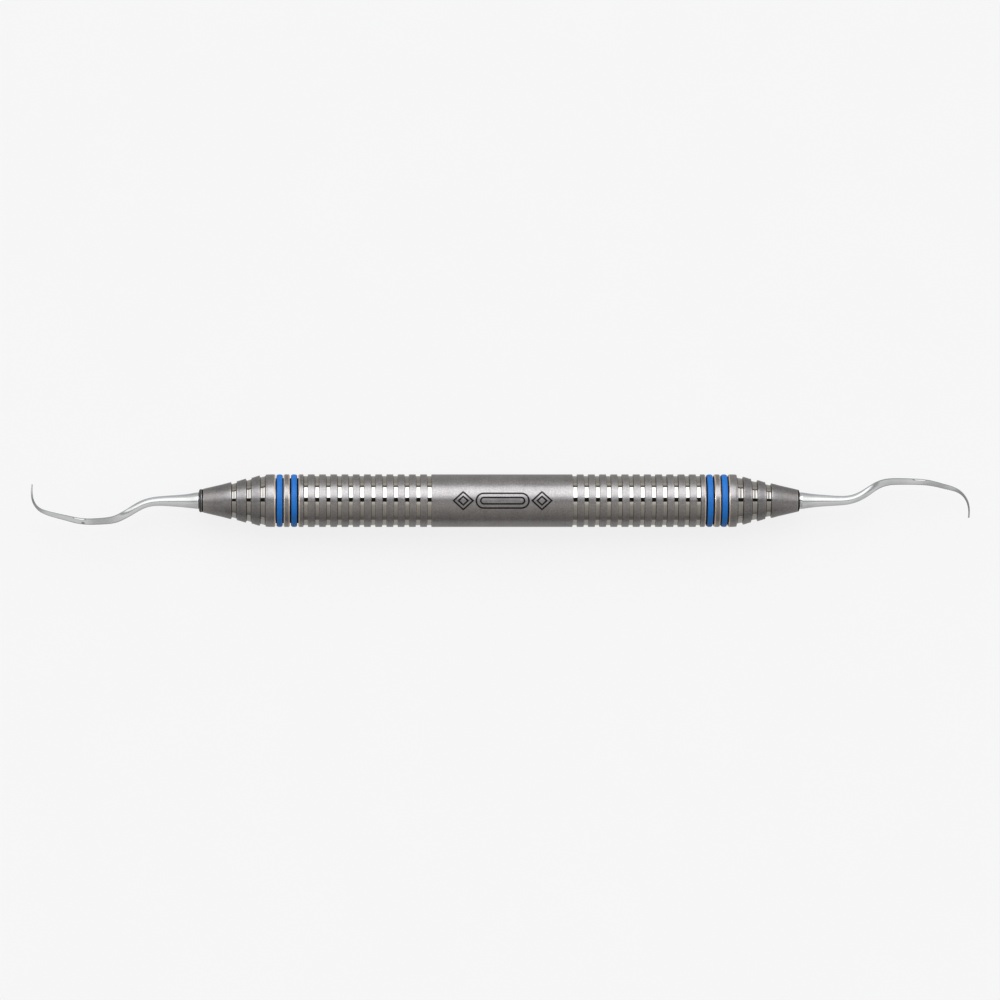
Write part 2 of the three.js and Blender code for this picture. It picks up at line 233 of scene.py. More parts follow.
def painted_recess_shade():
    """Near-black colour painted as shade into the ring seats, the collar groove and the rounded rim of nose b."""
    n = Nodes("recess_painted_shade")
    fine = n.noise(n.mapping((1, 1, 1)), 6000, 3.0, 0.6)
    colour = n.ramp(fine, [(0.3, (0.003, 0.003, 0.004)), (0.7, (0.009, 0.009, 0.008))]).outputs[0]
    return n.principled(Base_Color=colour, Metallic=0.0, Roughness=n.math("MULTIPLY_ADD", fine, 0.15, 0.75), Normal=n.bump(fine, 0.2, 0.00002), Specular_IOR_Level=0.0)


def nose_rim_painted_dark():
    """Near-black rounded end of the collar on nose a: a painted dark reflection."""
    n = Nodes("nose_rim_painted_dark")
    fine = n.noise(n.mapping((1, 1, 1)), 6000, 3.0, 0.6)
    rings = n.noise(n.mapping((1, 0.02, 0.02)), 7000, 2.0, 0.6)
    colour = n.ramp(n.math("MULTIPLY_ADD", fine, 0.5, n.math("MULTIPLY", rings, 0.5)), [(0.3, (0.022, 0.023, 0.022)), (0.7, (0.040, 0.041, 0.039))]).outputs[0]
    return n.principled(Base_Color=colour, Metallic=0.0, Roughness=n.math("MULTIPLY_ADD", fine, 0.12, 0.34), Normal=n.bump(rings, 0.08, 0.00001), Specular_IOR_Level=0.22)


def polished_steel():
    """Polished working end: fine polishing lines along it; the edge attribute mixes in a darker, rougher steel:
    painted shade on the working end, on the hook partly a duller ground finish.
    """
    n = Nodes("polished_steel")
    base = n.mapping((1, 1, 1))
    lines = n.noise(n.mapping((0.10, 1, 1)), 9000, 2.0, 0.6)
    streak = n.noise(n.mapping((0.05, 1, 1)), 3600, 2.0, 0.5)
    cloud = n.noise(base, 600, 3.0, 0.5)
    edge = n.add("ShaderNodeAttribute", attribute_name="edge").outputs["Fac"]
    shade = n.math("MULTIPLY_ADD", streak, 0.45, n.math("MULTIPLY_ADD", lines, 0.30, n.math("MULTIPLY", cloud, 0.25)))
    colour = n.ramp(shade, [(0.3, (0.66, 0.70, 0.735)), (0.7, (0.80, 0.845, 0.885))]).outputs[0]
    # darker colour mixed in by the edge attribute: painted shade, on the hook partly a duller ground finish
    dull = n.ramp(shade, [(0.3, (0.21, 0.225, 0.24)), (0.7, (0.31, 0.33, 0.35))]).outputs[0]
    colour = n.mix(edge, colour, dull)
    rough = n.math("MULTIPLY_ADD", lines, 0.07, n.math("MULTIPLY_ADD", cloud, 0.06, 0.10))
    rough = n.math("MULTIPLY_ADD", edge, 0.14, rough)
    normal = n.bump(lines, 0.10, 0.00001)
    normal = n.bump(streak, 0.10, 0.00002, normal)
    return n.principled(Base_Color=colour, Metallic=0.90, Roughness=rough, Normal=normal)


def blue_silicone():
    n = Nodes("blue_silicone")
    base = n.mapping((1, 1, 1))
    fine = n.noise(base, 4200, 3.0, 0.6)
    cloud = n.noise(base, 500, 3.0, 0.5)
    edge = n.add("ShaderNodeAttribute", attribute_name="edge").outputs["Fac"]
    colour = n.ramp(n.math("MULTIPLY_ADD", fine, 0.5, n.math("MULTIPLY", cloud, 0.5)), [(0.25, (0.003, 0.122, 0.445)), (0.75, (0.010, 0.174, 0.57))]).outputs[0]
    # the edge attribute darkens the ring's shoulders and sides to navy: painted shade
    colour = n.mix(edge, colour, (0.002, 0.020, 0.11))
    rough = n.math("MULTIPLY_ADD", fine, 0.12, 0.46)
    return n.principled(Base_Color=colour, Metallic=0.0, Roughness=rough, Normal=n.bump(fine, 0.25, 0.00003), Specular_IOR_Level=0.36)


def epoxy():
    n = Nodes("epoxy")
    fine = n.noise(n.mapping((1, 1, 1)), 2500, 3.0, 0.6)
    colour = n.ramp(fine, [(0.3, (0.28, 0.21, 0.11)), (0.7, (0.39, 0.31, 0.18))]).outputs[0]
    return n.principled(Base_Color=colour, Roughness=n.math("MULTIPLY_ADD", fine, 0.15, 0.28), Normal=n.bump(fine, 0.2, 0.00003))


def etched():
    """Laser-darkened lines of the mark."""
    n = Nodes("etched_line")
    fine = n.noise(n.mapping((1, 1, 1)), 9000, 3.0, 0.6)
    colour = n.ramp(fine, [(0.3, (0.006, 0.006, 0.007)), (0.7, (0.022, 0.021, 0.022))]).outputs[0]
    return n.principled(Base_Color=colour, Metallic=0.3, Roughness=n.math("MULTIPLY_ADD", fine, 0.2, 0.5), Normal=n.bump(fine, 0.3, 0.00001), Specular_IOR_Level=0.12)


SATIN = satin_steel(tone=(0.279, 0.273, 0.277))
# darker copy of the satin steel for the tapered cones: painted shade
TAPER_PAINTED_SHADE = satin_steel("satin_steel_taper_painted_shade", tone=(0.232, 0.227, 0.231))
# darker copy of the satin steel for the groove walls and fillets: painted shade
WALL_PAINTED_SHADE = satin_steel("groove_wall_painted_shade", tone=(0.115, 0.111, 0.112))
TURNED = turned_steel()
CHAMFER_PAINTED_REFLECTION = chamfer_steel_painted_reflection()
POLISHED = polished_steel()
SILICONE = blue_silicone()
EPOXY = epoxy()
RECESS_PAINTED_SHADE = painted_recess_shade()
RIM_PAINTED_DARK = nose_rim_painted_dark()
ETCHED = etched()


# ------------------------------------------------------------------- mesh code
def finish_mesh(name, verts, faces, mats, face_mats, edge_values=None, sharp=math.radians(38)):
    me = bpy.data.meshes.new(name)
    me.from_pydata([tuple(v) for v in verts], [], faces)
    for m in mats:
        me.materials.append(m)
    me.polygons.foreach_set("material_index", face_mats)
    if edge_values is not None:
        a = me.attributes.new("edge", "FLOAT", "POINT")
        a.data.foreach_set("value", np.asarray(edge_values, np.float32))
    me.validate()
    bm = bmesh.new()
    bm.from_mesh(me)
    bmesh.ops.recalc_face_normals(bm, faces=bm.faces)
    for f in bm.faces:
        f.smooth = True
    for e in bm.edges:
        if len(e.link_faces) == 2 and e.calc_face_angle(0) > sharp:
            e.smooth = False
    bm.to_mesh(me)
    bm.free()
    ob = bpy.data.objects.new(name, me)
    scene.collection.objects.link(ob)
    return ob


def lathe(name, profile, mats, sides=SIDES, turn=False):
    """Closed profile of (x, r, material, edge) in mm, turned about X. turn=True spins it end for end."""
    k = len(profile)
    xs = np.array([p[0] for p in profile])
    rs = np.array([p[1] for p in profile])
    ang = np.arange(sides) * 2 * math.pi / sides
    s = -1.0 if turn else 1.0
    verts = []
    for a in ang:
        c, d = math.cos(a), math.sin(a)
        verts += [(s * x * MM, s * r * c * MM, r * d * MM) for x, r in zip(xs, rs)]
    faces, fm = [], []
    for j in range(sides):
        j2 = (j + 1) % sides
        for i in range(k):
            i2 = (i + 1) % k
            faces.append((j * k + i, j * k + i2, j2 * k + i2, j2 * k + i))
            fm.append(profile[i][2])
    ev = np.tile([p[3] for p in profile], sides)
    return finish_mesh(name, verts, faces, mats, fm, ev)


def arc(cx, cy, r, a0, a1, n):
    """Points of a rounding, angles in degrees."""
    return [(cx + r * math.cos(math.radians(a0 + (a1 - a0) * i / n)), cy + r * math.sin(math.radians(a0 + (a1 - a0) * i / n))) for i in range(n + 1)]


def groove(x0, x1, top0, top1, floor0, floor1, f0=0.05, f1=0.05, b=0.045, land=0, after=0, wall=6, bottom=1):
    """A turned groove: eased rims, upright walls, fillets f0 and f1 at the floor; walls and fillets take a darker
    steel as painted shade.
    """
    p = [(x0 - b - 0.16, top0, land, 0.0), (x0 - b - 0.03, top0, land, 0.5)]
    p += [(x, y, land, 1.0) for x, y in arc(x0 - b, top0 - b, b, 90, 0, 3)]
    p[-1] = (*p[-1][:2], wall, 0.0)
    p += [(x, y, wall, 0.0) for x, y in arc(x0 + f0, floor0 + f0, f0, 180, 270, 4)]
    p[-1] = (*p[-1][:2], bottom, 0.0)
    p += [(x0 + f0 + 0.02, floor0, bottom, 0.0), (x1 - f1 - 0.02, floor1, bottom, 0.0)]
    p += [(x, y, wall, 0.0) for x, y in arc(x1 - f1, floor1 + f1, f1, 270, 360, 4)]
    p += [(x, y, after, 1.0) for x, y in arc(x1 + b, top1 - b, b, 180, 90, 3)]
    p += [(x1 + b + 0.03, top1, after, 0.5), (x1 + b + 0.16, top1, after, 0.0)]
    return p


# Material numbers of a turned steel piece. DARK is near-black painted shade, NOSE a near-black painted dark
# reflection, SLOPED and SHADE darker satin painted as shade, BEVEL a chamfer with a painted warm reflection.
LAND, BRIGHT, BEVEL, DARK, NOSE, SLOPED, SHADE = 0, 1, 2, 3, 4, 5, 6


def tag(points, mats):
    """Give each point the material of the stretch that starts at it."""
    return [(x, r, m, e) for (x, r, e), m in zip(points, mats)]


def rim(x, sign, r0, c=CHAMFER):
    """Chamfered rim of a ring seat, walked towards the seat (sign +1) or away from it (-1)."""
    drop = c * 0.78
    pts = [(x - sign * (c + 0.20), r0, 0.0), (x - sign * (c + 0.05), r0, 0.2), (x - sign * (c + 0.012), r0, 0.4),
           (x - sign * (c - 0.012), r0 - 0.006, 0.4), (x - sign * 0.015, r0 - drop + 0.006, 0.4), (x, r0 - drop - 0.02, 0.0)]
    if sign > 0:
        return tag(pts, [LAND, LAND, BEVEL, BEVEL, BEVEL, DARK])
    return tag(pts[::-1], [BEVEL, BEVEL, BEVEL, LAND, LAND, LAND])


def seat(x0, x1):
    """Ring seat between two chamfered rims; its walls and floor are near-black painted shade."""
    return rim(x0, 1, R) + [(x0, SEAT_R + 0.05, DARK, 0), (x0 + 0.05, SEAT_R, DARK, 0), (x1 - 0.05, SEAT_R, DARK, 0), (x1, SEAT_R + 0.05, DARK, 0)] + rim(x1, -1, R)


BAND_DROP = 0.005          # the middle band lies this much under the etched lines


def tube_profile():
    half = []
    for i in range(GROOVES):
        x0 = BAND_HALF + i * PITCH
        half += groove(x0, x0 + GROOVE_W, R, R, R - DEPTH, R - DEPTH, 0.05, 0.06 + 0.07 * i / (GROOVES - 1))
    half += seat(*SEAT_IN)
    half += rim(SEAT_OUT, 1, R) + [(SEAT_OUT, SEAT_R + 0.05, DARK, 0), (SEAT_OUT + 0.05, SEAT_R, DARK, 0), (TUBE_HALF - 0.03, SEAT_R, DARK, 0), (TUBE_HALF, SEAT_R - 0.03, BRIGHT, 0)]
    left = [(-x, r, m, e) for x, r, m, e in half][::-1]
    # shift material tags by one, because the walk runs the other way there
    left = [(x, r, left[i + 1][2] if i + 1 < len(left) else 0, e) for i, (x, r, m, e) in enumerate(left)]
    band = [(-12.35, R, 0, 0.0)] + [(x, R - BAND_DROP, 0, 0.0) for x in np.linspace(-12.1, 12.1, 9)] + [(12.35, R, 0, 0.0)]
    return left + band + half + [(TUBE_HALF, BORE_R, BRIGHT, 0), (-TUBE_HALF, BORE_R, BRIGHT, 0)]


def cone_profile(c):
    line = lambda x: c["ref"][1] + (c["ref"][0] - x) * SLOPE
    x0 = TUBE_HALF + JOINT
    p = [(SPIGOT_IN, CB_R, BRIGHT, 0), (SPIGOT_IN, SPIGOT_R - 0.3, BRIGHT, 0), (SPIGOT_IN + 0.3, SPIGOT_R, BRIGHT, 0),
         (RETAIN[0], SPIGOT_R, BRIGHT, 0), (RETAIN[0], RETAIN_R, BRIGHT, 0), (RETAIN[1], RETAIN_R, BRIGHT, 0), (RETAIN[1], SPIGOT_R, BRIGHT, 0),
         (x0, SPIGOT_R, DARK, 0)]
    p += rim(x0, -1, R)
    for i, (a, b) in enumerate(c["grooves"]):
        top0 = R if i == 0 else line(a)
        if i == 0:
            start = x0 + CHAMFER + 0.25
            ease = lambda x: R - CROWN * ((x - start) / (a - start)) ** 2
            p += [(x, ease(x), LAND, 0.0) for x in np.linspace(start, a - 0.24, 7)]
            top0 = ease(a)
        s0, sm, s1 = c["floor"]
        mid, low, run = (a + b) / 2, line(b) - DEPTH, (b - a) / 2 - RIDGE / 2
        g = groove(a, b, top0, line(b), low + run * (s0 + s1) + RIDGE * sm, low, 0.16, 0.16, land=LAND if i == 0 else SLOPED, after=SLOPED)
        k = [n for n, q in enumerate(g) if q[0] > mid][0]
        p += g[:k] + [(mid - RIDGE / 2, low + run * s1 + RIDGE * sm, BRIGHT, 0.0), (mid + RIDGE / 2, low + run * s1, BRIGHT, 0.0)] + g[k:]
    e = c["end"]
    if c["collar"]:
        g0, g1 = COLLAR_GROOVE
        r0 = line(g0)
        # the collar groove is near-black painted shade (DARK), the rims beside it are lightened by edge values as a
        # painted highlight, and the rounded end (NOSE) is a painted dark reflection
        p += [(50.5, line(50.5), SLOPED, 0), (52.2, line(52.2), SLOPED, 0), (g0 - 0.09, line(g0 - 0.09), SLOPED, 0.5), (g0 - 0.02, line(g0 - 0.02), SLOPED, 1.0), (g0, r0 - 0.02, DARK, 0.6), (g0, r0 - 0.08, DARK, 0),
              (g0 + 0.02, r0 - 0.10, DARK, 0), (g1 - 0.02, r0 - 0.10, DARK, 0), (g1, r0 - 0.08, DARK, 0), (g1, COLLAR_R - 0.02, SLOPED, 0.8), (g1 + 0.02, COLLAR_R, SLOPED, 0.8)]
        q = arc(e - COLLAR_ROUND, COLLAR_R - COLLAR_ROUND, COLLAR_ROUND, 90, 8, 9)
        p += [(x, y, NOSE, 0.0) for i, (x, y) in enumerate(q)]
        p += [(e, 1.62, DARK, 0), (e - 0.03, 1.56, BRIGHT, 0)]
    else:
        r1 = line(e - 0.36)
        # the rounded rim of nose b is near-black (DARK): painted shade; the edge value 1.0 just before it lightens a
        # thin line there as a painted highlight
        p += [(50.3, line(50.3), SLOPED, 0), (52.0, line(52.0), SLOPED, 0), (e - 0.56, line(e - 0.56), SLOPED, 0.0), (e - 0.42, line(e - 0.42), SLOPED, 1.0), (e - 0.30, line(e - 0.30) - 0.004, DARK, 0.9)]
        p += [(x, y, DARK, 0.0) for x, y in arc(e - 0.36, r1 - 0.37, 0.36, 76, 4, 8)]
        p += [(e, r1 - 0.43, DARK, 0), (e, 1.62, DARK, 0), (e - 0.03, 1.56, BRIGHT, 0)]
    p += [(CB_TO, TANG_BORE, BRIGHT, 0), (CB_TO - 0.6, CB_R, BRIGHT, 0)]
    return p


def ring_profile(x):
    """Silicone ring with a crowned face and soft shoulders; the fourth value darkens the shoulders and sides as
    painted shade.
    """
    w = RING_W / 2
    p = [(x - w, RING_IN_R + 0.06, 0, 1), (x - w, 4.36, 0, 1), (x - w, 4.42, 0, 1)]
    for i in range(17):
        t = math.sin((-1 + 2 * i / 16) * math.pi / 2)
        # superellipse crown
        p.append((x + w * t * 0.992, 4.44 + (R - 4.44) * max(0.0, 1 - abs(t) ** 2.8) ** (1 / 2.0), 0, smooth(0.80, 1.0, abs(t))))
    p += [(x + w, 4.42, 0, 1), (x + w, 4.36, 0, 1), (x + w, RING_IN_R + 0.06, 0, 1), (x + w - 0.06, RING_IN_R, 0, 1), (x - w + 0.06, RING_IN_R, 0, 1)]
    return p


# ---------------------------------------------------------------- working ends
def catmull(points, samples=40):
    """Centripetal Catmull-Rom through the points, densely sampled."""
    P = [np.array(p, float) for p in points]
    P = [2 * P[0] - P[1]] + P + [2 * P[-1] - P[-2]]
    out = []
    for i in range(1, len(P) - 2):
        p0, p1, p2, p3 = P[i - 1:i + 3]
        d0, d1, d2 = (max(1e-4, np.linalg.norm(b - a)) ** 0.5 for a, b in ((p0, p1), (p1, p2), (p2, p3)))
        t1 = ((p1 - p0) / d0 - (p2 - p0) / (d0 + d1) + (p2 - p1) / d1) * d1
        t2 = ((p2 - p1) / d1 - (p3 - p1) / (d1 + d2) + (p3 - p2) / d2) * d1
        for k in range(samples):
            t = k / samples
            out.append((2 * t**3 - 3 * t**2 + 1) * p1 + (t**3 - 2 * t**2 + t) * t1 + (-2 * t**3 + 3 * t**2) * p2 + (t**3 - t**2) * t2)
    out.append(P[-2])
    return np.array(out)


def section(j, sides, s, r, h):
    """Point j of the section at s, as (towards the inside of the hook, out of plane).
    Round at first, then with two leaning flats; halfway, one side of each flat turns
    over where the grinding runs out."""
    quarter, step = divmod(j, sides // 4)
    step /= sides // 4
    flat = smooth(FLAT_FROM, FLAT_FULL, s)
    t = step if quarter % 2 == 0 else 1 - step           # 0 at the side, 1 at the middle of the flat
    a = t * math.pi / 2
    inn, sid = math.cos(a), math.sin(a)
    if t < 0.5:                                          # side, bulging from the flat's edge
        k = 2 * t
        fi, fs = FLAT_SHARE + (1 - FLAT_SHARE) * (1 - k * k), k
    else:
        fi, fs = FLAT_SHARE * 2 * (1 - t), 1.0
    inn = inn + (fi - inn) * flat
    sid = sid + (fs - sid) * flat
    inn *= r * (1 if quarter in (0, 3) else -1)
    sid *= h * (1 if quarter < 2 else -1)
    blade = smooth(BLADE_FROM, BLADE_FULL, s)
    lean = LEAN * flat + (BLADE_LEAN - LEAN) * blade
    out = sid - inn * lean
    strip = abs(inn) - CREASE * r
    if inn * sid < 0 and strip > 0:
        turn = max(0.0, 1 - ((s - GLINT) / GLINT_HALF) ** 2)
        out -= math.copysign(strip, inn) * (RUN_OUT - lean) * turn * abs(sid) / h
    return inn, out


def painted_shade_and_dullness(j, sides, s, hand):
    """How much darker colour the working end gets: painted shade on the sides of the flats, on half of each flat of
    end b and round the mouth, a dark painted reflection beside the run-out of end a; on most of the hook partly a
    duller ground finish, partly painted shade."""
    quarter, step = divmod(j, sides // 4)
    step /= sides // 4
    t = step if quarter % 2 == 0 else 1 - step
    side = 1 - smooth(0.36, 0.60, t)
    flat = smooth(FLAT_FROM + 2, FLAT_FULL, s)
    # painted shade round the mouth (dimming its highlight), on half of each flat of end b, and a dark painted
    # reflection beside the run-out of end a
    mouth = 0.2 * (1 - smooth(0.6, 2.6, s))
    if hand > 0 and quarter in (0, 3) and t > 0.45:
        mouth += 0.13 * flat
    if hand < 0 and quarter == 2 and 0.45 < t < 0.9:
        mouth += 0.9 * (1 - smooth(0.16, 0.36, abs(s - 21.32 + 0.5 * (0.9 - t))))
    return min(1.0, side * (0.08 + 0.60 * flat) + mouth + smooth(27.8, 30.0, s) * (1 - 0.3 * smooth(31.5, 33.5, s)) * 0.6)


def working_end(name, line, nose, hand, turn):
    sides = 48
    flat = [(line[0][0] - 3, 0), (line[0][0] - 1.5, 0)] + list(line)
    run, pts = -3.0, []
    sway = lambda s: -SWAY * smooth(8, 18, s) + (TOE_SWAY * ((s - 22) / 12.35) ** 2 if s > 22 else 0)
    for i, (x, y) in enumerate(flat):
        if i:
            run += math.dist(flat[i - 1], flat[i])
        pts.append((x, y, hand * sway(run)))
    C = catmull(pts)
    # even out what noise the curve has left, keeping its ends
    d = np.r_[0, np.cumsum(np.linalg.norm(np.diff(C, axis=0), axis=1))]
    total = d[-1]
    toe = total - 3
    u = np.linspace(0, total, 1201)
    E = np.stack([np.interp(u, d, C[:, k]) for k in range(3)], 1)
    kern = np.hanning(41); kern /= kern.sum()
    pad = np.vstack([2 * E[0] - E[20:0:-1], E, 2 * E[-1] - E[-2:-22:-1]])
    E = np.stack([np.convolve(pad[:, k], kern, "valid") for k in range(3)], 1)
    T = np.gradient(E, axis=0)
    T /= np.linalg.norm(T, axis=1)[:, None]
    at = lambda s: np.array([np.interp(s + 3, u, E[:, k]) for k in range(3)])
    tan = lambda s: np.array([np.interp(s + 3, u, T[:, k]) for k in range(3)])
    sx = lambda x: x - line[0][0]
    st = np.linspace(0, 34.8, 400)
    k2 = np.hanning(31); k2 /= k2.sum()

    def even(points):
        v = np.array([table(points, s) / 2 for s in st])
        v = np.convolve(np.r_[2 * v[0] - v[15:0:-1], v, 2 * v[-1] - v[-2:-17:-1]], k2, "valid")
        return lambda s: float(np.interp(s, st, v)) if s > 0 else float(v[0]) - s * 0.13

    rad, deep = even(THICKNESS), even(DEPTHS)
    m = sx(nose)
    # (station, radius, fixed): the tang and mouth are turned, the rest follows the tables
    stations = [(sx(TANG_IN), 0.0), (sx(TANG_IN), TANG_R - 0.25), (sx(TANG_IN) + 0.25, TANG_R), (m - 1.05, TANG_R), (m - 0.95, MOUTH_R), (m - 0.04, MOUTH_R)]
    stations += [(m + 0.06, MOUTH_R + 0.01), (m + 0.10, MOUTH_R + 0.045), (m + 0.16, MOUTH_R + 0.06), (m + 0.22, MOUTH_R + 0.045), (m + 0.27, MOUTH_R)]
    s = m + 0.34
    first = len(stations)
    while s < 21:
        stations.append((s, rad(s) - (0.015 if s < m + 0.4 else 0)))
        s += 0.20
    while s < toe - 0.10:
        stations.append((s, rad(s)))
        s += 0.10
    stations += [(toe - 0.04, rad(toe)), (toe + 0.005, rad(toe) * 0.80), (toe + 0.02, rad(toe) * 0.40), (toe + 0.02, 0.0)]
    verts, ev, rows = [], [], []
    sg = -1.0 if turn else 1.0
    for i, (s, r) in enumerate(stations):
        if s <= -3:
            c, t = np.array([line[0][0] + s, 0, 0]), np.array([1.0, 0, 0])
        else:
            c, t = at(s), tan(s)
        nrm = np.cross((0, 0, 1), t); nrm /= np.linalg.norm(nrm)
        b = np.cross(t, nrm)
        row = []
        if r == 0.0:
            verts.append(c); ev.append(0.0); row = [len(verts) - 1]
        else:
            h = r if i < first else deep(s) * r / rad(s)
            for j in range(sides):
                inn, sid = section(j, sides, s, r, h)
                verts.append(c - nrm * inn + b * sid * hand)
                ev.append(painted_shade_and_dullness(j, sides, s, hand) if i >= first else 0.0)
                row.append(len(verts) - 1)
        rows.append(row)
    faces = []
    for r0, r1 in zip(rows, rows[1:]):
        if len(r0) == 1:
            faces += [(r0[0], r1[j], r1[(j + 1) % sides]) for j in range(sides)]
        elif len(r1) == 1:
            faces += [(r0[j], r1[0], r0[(j + 1) % sides]) for j in range(sides)]
        else:
            faces += [(r0[j], r1[j], r1[(j + 1) % sides], r0[(j + 1) % sides]) for j in range(sides)]
    V = [(sg * v[0] * MM, sg * v[1] * MM, v[2] * MM) for v in verts]
    return finish_mesh(name, V, faces, [POLISHED], [0] * len(faces), ev, sharp=math.radians(34))


# ----------------------------------------------------------------- etched mark
def strokes(name, outlines, width, top=R - 0.001, bottom=R - 0.03):
    """Thin closed bands along closed outlines given as (x, distance round the handle) in mm."""
    verts, faces = [], []
    for outline in outlines:
        P = np.array(outline, float)
        k = len(P)
        d = np.roll(P, -1, 0) - P
        d /= np.linalg.norm(d, axis=1)[:, None]
        nrm = np.stack([-d[:, 1], d[:, 0]], 1)
        miter = nrm + np.roll(nrm, 1, 0)
        miter /= np.maximum(0.35, (miter * nrm).sum(1))[:, None]
        base = len(verts)
        for p, q in zip(P, miter * width / 2):
            for sign, r in ((1, top), (-1, top), (-1, bottom), (1, bottom)):
                x, y = p + sign * q
                verts.append((x * MM, r * math.sin(y / R) * MM, r * math.cos(y / R) * MM))
        for i in range(k):
            a, b = base + 4 * i, base + 4 * ((i + 1) % k)
            faces += [(a + c, a + (c + 1) % 4, b + (c + 1) % 4, b + c) for c in range(4)]
    return finish_mesh(name, verts, faces, [ETCHED], [0] * len(faces), sharp=math.radians(30))


def lozenge(cx, w, h, n=12):
    corners = [(cx - w, 0), (cx, -h), (cx + w, 0), (cx, h)]
    out = []
    for (x0, y0), (x1, y1) in zip(corners, corners[1:] + corners[:1]):
        out += [(x0 + (x1 - x0) * i / n, y0 + (y1 - y0) * i / n) for i in range(n)]
    return out


def stadium(cx, w, h, n=16):
    out = [(cx + w - h + h * math.sin(math.pi * i / n), h * math.cos(math.pi * i / n)) for i in range(n + 1)]
    out += [(cx + w - h - 2 * (w - h) * i / 12, -h) for i in range(1, 12)]
    out += [(cx - w + h - h * math.sin(math.pi * i / n), -h * math.cos(math.pi * i / n)) for i in range(n + 1)]
    out += [(cx - w + h + 2 * (w - h) * i / 12, h) for i in range(1, 12)]
    return out


# -------------------------------------------------------------------- assembly
STEEL = [SATIN, TURNED, CHAMFER_PAINTED_REFLECTION, RECESS_PAINTED_SHADE, RIM_PAINTED_DARK, TAPER_PAINTED_SHADE, WALL_PAINTED_SHADE]
pieces = []


def place(ob, node):
    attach(ob, "root")
    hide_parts(node)
    pieces.append(ob)


place(lathe("handle", tube_profile(), STEEL), "handle_tube")
for label, turn, hand in (("a", True, -1), ("b", False, 1)):
    cone = CONES[label]
    place(lathe(f"cone_{label}", cone_profile(cone), STEEL, turn=turn), f"nose_cone_{label}")
    for which, x in (("inner", (SEAT_IN[0] + SEAT_IN[1]) / 2), ("outer", (SEAT_OUT + TUBE_HALF) / 2)):
        place(lathe(f"ring_{label}_{which}", ring_profile(x), [SILICONE], turn=turn), f"color_ring_{label}_{which}")
    place(working_end(f"tip_{label}", LINES[label], cone["end"], hand, turn), f"working_end_{label}")
# A plain geometric mark on the middle band: two lozenges and a long rounded bar.
mark = strokes("etched_mark", [lozenge(-7.1, 1.75, 1.62), lozenge(-7.1, 0.85, 0.78), stadium(0, 4.75, 1.35), stadium(0, 3.95, 0.58),
                               lozenge(7.1, 1.75, 1.62), lozenge(7.1, 0.85, 0.78)], 0.30)
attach(mark, "root")
pieces.append(mark)
for n in ("tang_bond_a", "tang_bond_b", "cone_bond_a", "cone_bond_b"):
    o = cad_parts[n]
    o.data.materials.clear()
    o.data.materials.append(EPOXY)

# ------------------------------------------------------------------------ stage
def make_floor():
    bm = bmesh.new()
    size, n = 3.0, 24
    grid = [[bm.verts.new(((i / n - 0.5) * size, (j / n - 0.5) * size, -R * MM)) for i in range(n + 1)] for j in range(n + 1)]
    for j in range(n):
        for i in range(n):
            bm.faces.new((grid[j][i], grid[j][i + 1], grid[j + 1][i + 1], grid[j + 1][i]))
    me = bpy.data.meshes.new("floor")
    bm.to_mesh(me)
    bm.free()
    ob = bpy.data.objects.new("floor", me)
    scene.collection.objects.link(ob)
    n = Nodes("floor_paper")
    lp = n.add("ShaderNodeLightPath").outputs["Is Camera Ray"]
    paper = n.noise(n.mapping((1, 1, 1)), 60, 2.0, 0.5)
    pale = n.ramp(paper, [(0.3, (0.098, 0.098, 0.098)), (0.7, (0.102, 0.102, 0.102))]).outputs[0]
    xyz = n.add("ShaderNodeSeparateXYZ", {"Vector": n.add("ShaderNodeTexCoord").outputs["Object"]})
    x, y = n.math("ABSOLUTE", xyz.outputs["X"]), xyz.outputs["Y"]
    ends = n.remap(x, 0.054, 0.060, 0, 1)
    back = n.mix(ends, (0.50, 0.49, 0.46), (0.44, 0.45, 0.45))
    bounce = n.mix(n.remap(y, -0.02, 0.02, 0, 1), (0.60, 0.58, 0.56), back)
    far = n.mix(ends, (0.20, 0.19, 0.18), (0.58, 0.58, 0.57))
    bounce = n.mix(n.remap(y, -0.05, -0.03, 1, 0), bounce, far)
    n.principled(Base_Color=n.mix(lp, (0, 0, 0), pale), Roughness=0.9, Specular_IOR_Level=0.0,
                 Emission_Color=n.mix(lp, bounce, (0.82, 0.82, 0.82)), Emission_Strength=1.0)
    ob.data.materials.append(n.mat)


make_floor()

# Studio as the world, by angle round the handle's axis (0 up, 90 towards +Y): a soft
# box above and behind, a dark slot round the lens, warm grey walls. NEAR is what
# lies square to the handle, FAR what lies along it. The camera sees pale paper.
NEAR = [(-180, (.36, .34, .32)), (-96, (.12, .115, .105)), (-84, (.14, .13, .12)), (-71, (.225, .212, .194)), (-49, (.30, .283, .26)), (-23.5, (.395, .365, .33)),
        (-12, (.63, .60, .55)), (-5.6, (.80, .765, .71)), (-4.6, (.012, .012, .013)), (13.5, (.012, .012, .013)), (14.9, (2.48, 2.45, 2.46)),
        (34, (2.70, 2.66, 2.67)), (44, (2.70, 2.66, 2.67)), (66.0, (2.02, 2.0, 2.0)), (67.1, (.03, .028, .025)), (72.8, (.03, .028, .025)),
        (74.0, (.34, .32, .28)), (84, (.56, .53, .48)), (91, (.45, .41, .37)), (98, (.39, .36, .32)), (180, (.36, .34, .32))]
